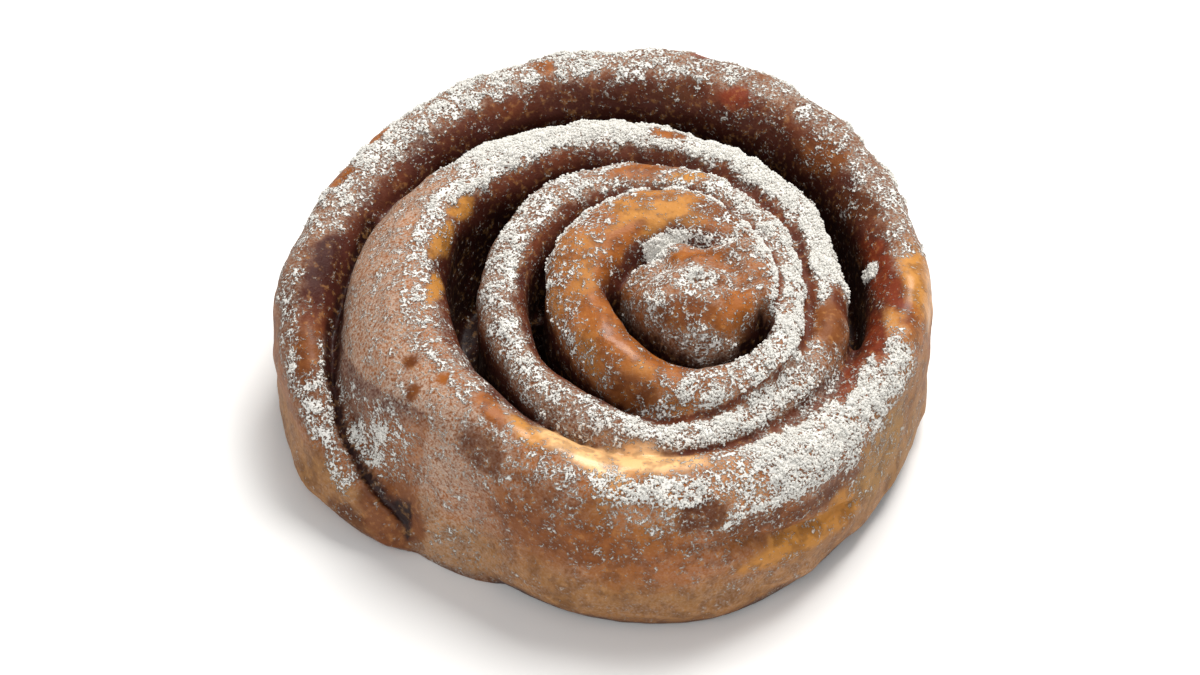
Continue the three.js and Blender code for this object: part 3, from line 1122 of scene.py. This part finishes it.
@dataclass
class SugarGrains:
    """Loose grains of sugar, lying where the dough's cover is thick.

    near and far bound their ring, as reaches from the eye. small and large are the radii
    of the grains, and lift is how far a grain's middle stands off the dough, in radii.
    """

    dough: Dough
    material: bpy.types.Material
    name: str
    near: float
    far: float
    count: int
    seed: int
    small: float = 0.11
    large: float = 0.30
    lift: float = 0.35

    def build(self) -> bpy.types.Object:
        """Makes the grains of one ring round the eye.

        Returns:
            The object that holds them, at the origin.
        """
        random = np.random.default_rng(self.seed)
        places, normals = self._places(random)
        size = self.small + (self.large - self.small) * random.random(self.count) ** 2.6
        stretch = 0.7 + 0.6 * random.random((self.count, 1, 3))
        turned = self._turns(random, self.count)

        mesh = self._balls()
        flat = np.zeros(len(mesh.vertices) * 3)
        mesh.vertices.foreach_get("co", flat)
        balls = flat.reshape(self.count, -1, 3)
        shaped = np.einsum("nij,nvj->nvi", turned, balls) * stretch * size[:, None, None]
        raised = (places + normals * (size * self.lift)[:, None])[:, None, :]
        points = (shaped + raised).reshape(-1, 3)
        points[:, 2] = np.maximum(points[:, 2], 0.0)
        mesh.vertices.foreach_set("co", (points * MM).ravel())
        mesh.update()
        mesh.materials.append(self.material)
        piece = bpy.data.objects.new(self.name, mesh)
        bpy.context.scene.collection.objects.link(piece)
        return piece

    def _balls(self) -> bpy.types.Mesh:
        """Makes one ball of 20 faces for each grain, all of them still in the middle.

        Returns:
            The mesh, with the points of each ball together.
        """
        balls = bmesh.new()
        bmesh.ops.create_icosphere(balls, subdivisions=1, radius=1.0)
        kinds = (balls.verts, balls.edges, balls.faces)
        sizes = [len(kind) for kind in kinds]
        made = 1
        while made < self.count:
            more = min(made, self.count - made)
            copied = []
            for kind, size in zip(kinds, sizes):
                kind.ensure_lookup_table()
                copied += kind[: more * size]
            bmesh.ops.duplicate(balls, geom=copied)
            made += more
        mesh = bpy.data.meshes.new(self.name)
        balls.to_mesh(mesh)
        balls.free()
        return mesh

    def _places(self, random: np.random.Generator) -> tuple[np.ndarray, np.ndarray]:
        """Picks points of the dough in this ring, more of them where the cover is thick.

        Args:
            random: the ring's random numbers.

        Returns:
            The grains' places and the dough's normals there.
        """
        dough = self.dough
        reach = dough.fields["reach"]
        sugar = dough.fields["sugar"]
        chance = smooth_step(0.5, 1.1, sugar + 0.35 * dough.fields["clump"])
        chance = chance * smooth_step(0.25, 0.55, sugar)
        chance = chance * ((reach >= self.near) & (reach < self.far))
        chance = chance * smooth_step(2.0, 5.0, dough.points[:, 2])
        picked = random.choice(len(reach), self.count, p=chance / chance.sum())
        scatter = (random.random((self.count, 3)) - 0.5) * dough.voxel
        normals = dough.normals[picked]
        level = scatter - normals * (scatter * normals).sum(1)[:, None]
        return dough.points[picked] + level, normals

    @staticmethod
    def _turns(random: np.random.Generator, count: int) -> np.ndarray:
        """Random rotations.

        Args:
            random: the ring's random numbers.
            count: how many rotations.

        Returns:
            One matrix each.
        """
        spun = random.normal(size=(count, 4))
        w, x, y, z = (spun / np.linalg.norm(spun, axis=1, keepdims=True)).T
        rows = [
            [1 - 2 * (y * y + z * z), 2 * (x * y - w * z), 2 * (x * z + w * y)],
            [2 * (x * y + w * z), 1 - 2 * (x * x + z * z), 2 * (y * z - w * x)],
            [2 * (x * z - w * y), 2 * (y * z + w * x), 1 - 2 * (x * x + y * y)],
        ]
        return np.array(rows).transpose(2, 0, 1)


# ------------------------------------------------------------------ the studio


@dataclass(frozen=True)
class Lamp:
    """A square soft light that faces the roll."""

    name: str
    place: tuple[float, float, float]
    size: float
    power: float
    colour: Colour = (1.0, 1.0, 1.0)

    def build(self, target: Vector) -> None:
        """Hangs the lamp and turns it to the target.

        Args:
            target: the point that it faces.
        """
        light = bpy.data.lights.new(self.name, "AREA")
        light.energy = self.power
        light.size = self.size
        light.color = self.colour
        holder = bpy.data.objects.new(self.name, light)
        holder.location = self.place
        facing = target - Vector(self.place)
        holder.rotation_euler = facing.to_track_quat("-Z", "Y").to_euler()
        bpy.context.scene.collection.objects.link(holder)


@dataclass
class Studio:
    """The floor, the soft light and the camera.

    The camera looks at target from elevation degrees above the floor.
    """

    target: tuple[float, float, float] = (-0.0003, -0.0045, 0.017)
    elevation: float = 45.0
    distance: float = 0.42
    lens: float = 72.3
    floor_half: float = 1.5
    sky: float = 0.38
    lamps: Sequence[Lamp] = (
        Lamp("window", (0.16, 0.26, 0.62), 0.36, 5.9, (1.0, 0.98, 0.95)),
        Lamp("front_fill", (-0.15, -0.60, 0.50), 0.70, 2.2, (0.98, 0.985, 1.0)),
    )

    def build(self) -> None:
        """Sets up the whole studio."""
        self._floor()
        self._sky()
        for lamp in self.lamps:
            lamp.build(Vector(self.target))
        self._camera()
        bpy.context.scene.view_settings.view_transform = "Standard"

    def _floor(self) -> None:
        """A wide plain floor at the roll's base."""
        shape = bmesh.new()
        bmesh.ops.create_grid(shape, x_segments=1, y_segments=1, size=self.floor_half)
        mesh = bpy.data.meshes.new("floor")
        shape.to_mesh(mesh)
        shape.free()
        mesh.materials.append(PaleFloor().material())
        floor = bpy.data.objects.new("floor", mesh)
        bpy.context.scene.collection.objects.link(floor)

    def _sky(self) -> None:
        """Even light from all round."""
        world = bpy.data.worlds.new("soft_sky")
        world.use_nodes = True
        background = world.node_tree.nodes["Background"]
        background.inputs["Color"].default_value = (1.0, 1.0, 1.0, 1.0)
        background.inputs["Strength"].default_value = self.sky
        bpy.context.scene.world = world

    def _camera(self) -> None:
        """Looks along +Y and down at the roll."""
        data = bpy.data.cameras.new("camera")
        data.lens = self.lens
        data.sensor_width = 36.0
        data.clip_start = 0.01
        camera = bpy.data.objects.new("camera", data)
        tilt = math.radians(self.elevation)
        back = Vector((0.0, -math.cos(tilt), math.sin(tilt)))
        camera.location = Vector(self.target) + back * self.distance
        camera.rotation_euler = (-back).to_track_quat("-Z", "Y").to_euler()
        bpy.context.scene.collection.objects.link(camera)
        bpy.context.scene.camera = camera


# ------------------------------------------------------------------ the whole


@dataclass
class CinnamonRoll:
    """The roll: its dough and the sugar on it.

    low and high are the solid's corners, and eye_shift leads from their middle to the eye,
    in millimetres. Each ring of grains has a name, its near and far reach and a count.
    """

    low: Vector
    high: Vector
    eye_shift: tuple[float, float] = (15.2, -18.0)
    rings: tuple[tuple[str, float, float, int], ...] = (
        ("sugar_heart", 0.0, 17.5, 4500),
        ("sugar_middle", 17.5, 27.5, 6000),
        ("sugar_front", 27.5, 38.0, 7500),
        ("sugar_back", 38.0, 52.0, 7500),
        ("sugar_rim", 52.0, 90.0, 7500),
    )

    def build(self) -> list[bpy.types.Object]:
        """Makes every piece and ties it to the frame.

        Returns:
            The pieces.
        """
        middle = (self.low + self.high) / 2
        eye = Vector((middle.x + self.eye_shift[0] * MM, middle.y + self.eye_shift[1] * MM, 0.0))
        dough = Dough(eye)
        pieces = [dough.build()]
        white = IcingSugar().material()
        for seed, (name, near, far, count) in enumerate(self.rings, 1):
            grains = SugarGrains(dough, white, name, near, far, count, seed).build()
            pieces.append(grains)
        for piece in pieces:
            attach(piece, BODY)
            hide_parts(NODE)
            log.info("%s: %d faces", piece.name, len(piece.data.polygons))
        return pieces


def main() -> None:
    """Builds the roll and its studio."""
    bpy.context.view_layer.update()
    low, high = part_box(NODE)
    roll = CinnamonRoll(low, high)
    roll.build()
    Studio().build()


if __name__ == "__main__":
    main()
